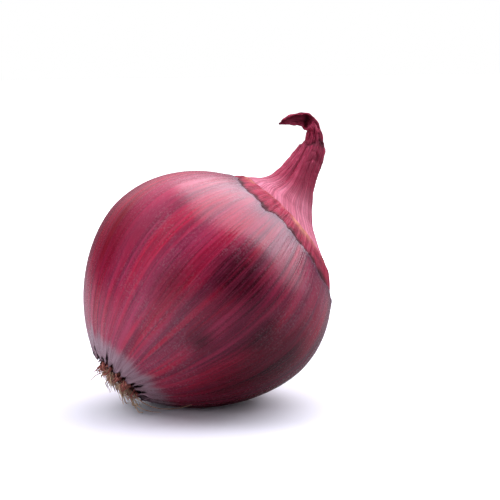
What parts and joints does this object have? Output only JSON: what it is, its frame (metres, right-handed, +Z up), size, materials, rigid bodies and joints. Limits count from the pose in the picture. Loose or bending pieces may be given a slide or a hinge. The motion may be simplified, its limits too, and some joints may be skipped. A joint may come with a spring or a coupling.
{
  "type": "red onion",
  "caption": "Whole red onion lying on its side: round bulb with a dried hooked neck, loose glossy papery outer skin torn round the shoulder, corky root plate and dried roots.",
  "frame": {"origin": "on the table (z = 0), on the small flat spot that the onion rests on, straight below the middle of its widest ring", "axes": "+Z up. The onion's own axis, from the root plate to the neck, lies in the XZ plane and leans towards +X at 47 degrees from upright, so the roots face -X and down. +Y points away from a viewer who sees the roots at the lower left."},
  "size_m": [0.0825, 0.0796, 0.092],
  "materials": {
    "glossy_skin": "glossy dried papery skin, crimson with darker purple veins, semi-gloss",
    "matte_skin": "dry papery neck and shoulder skin, pinkish crimson with fine lengthwise fibres, matte",
    "root_plate": "rough corky brown disc, matte",
    "dry_root": "dried straw-brown root fibre, matte"
  },
  "bodies": {
    "root": {"bulb": "matte_skin", "outer_skin": "glossy_skin", "root_plate": "root_plate", "root_01": "dry_root", "root_02": "dry_root", "root_03": "dry_root", "root_04": "dry_root", "root_05": "dry_root", "root_06": "dry_root", "root_07": "dry_root", "root_08": "dry_root", "root_09": "dry_root", "root_10": "dry_root", "root_11": "dry_root", "root_12": "dry_root", "root_13": "dry_root", "root_14": "dry_root", "root_15": "dry_root", "root_16": "dry_root", "root_17": "dry_root", "root_18": "dry_root", "root_19": "dry_root", "root_20": "dry_root", "root_21": "dry_root", "root_22": "dry_root"}
  },
  "joints": []
}
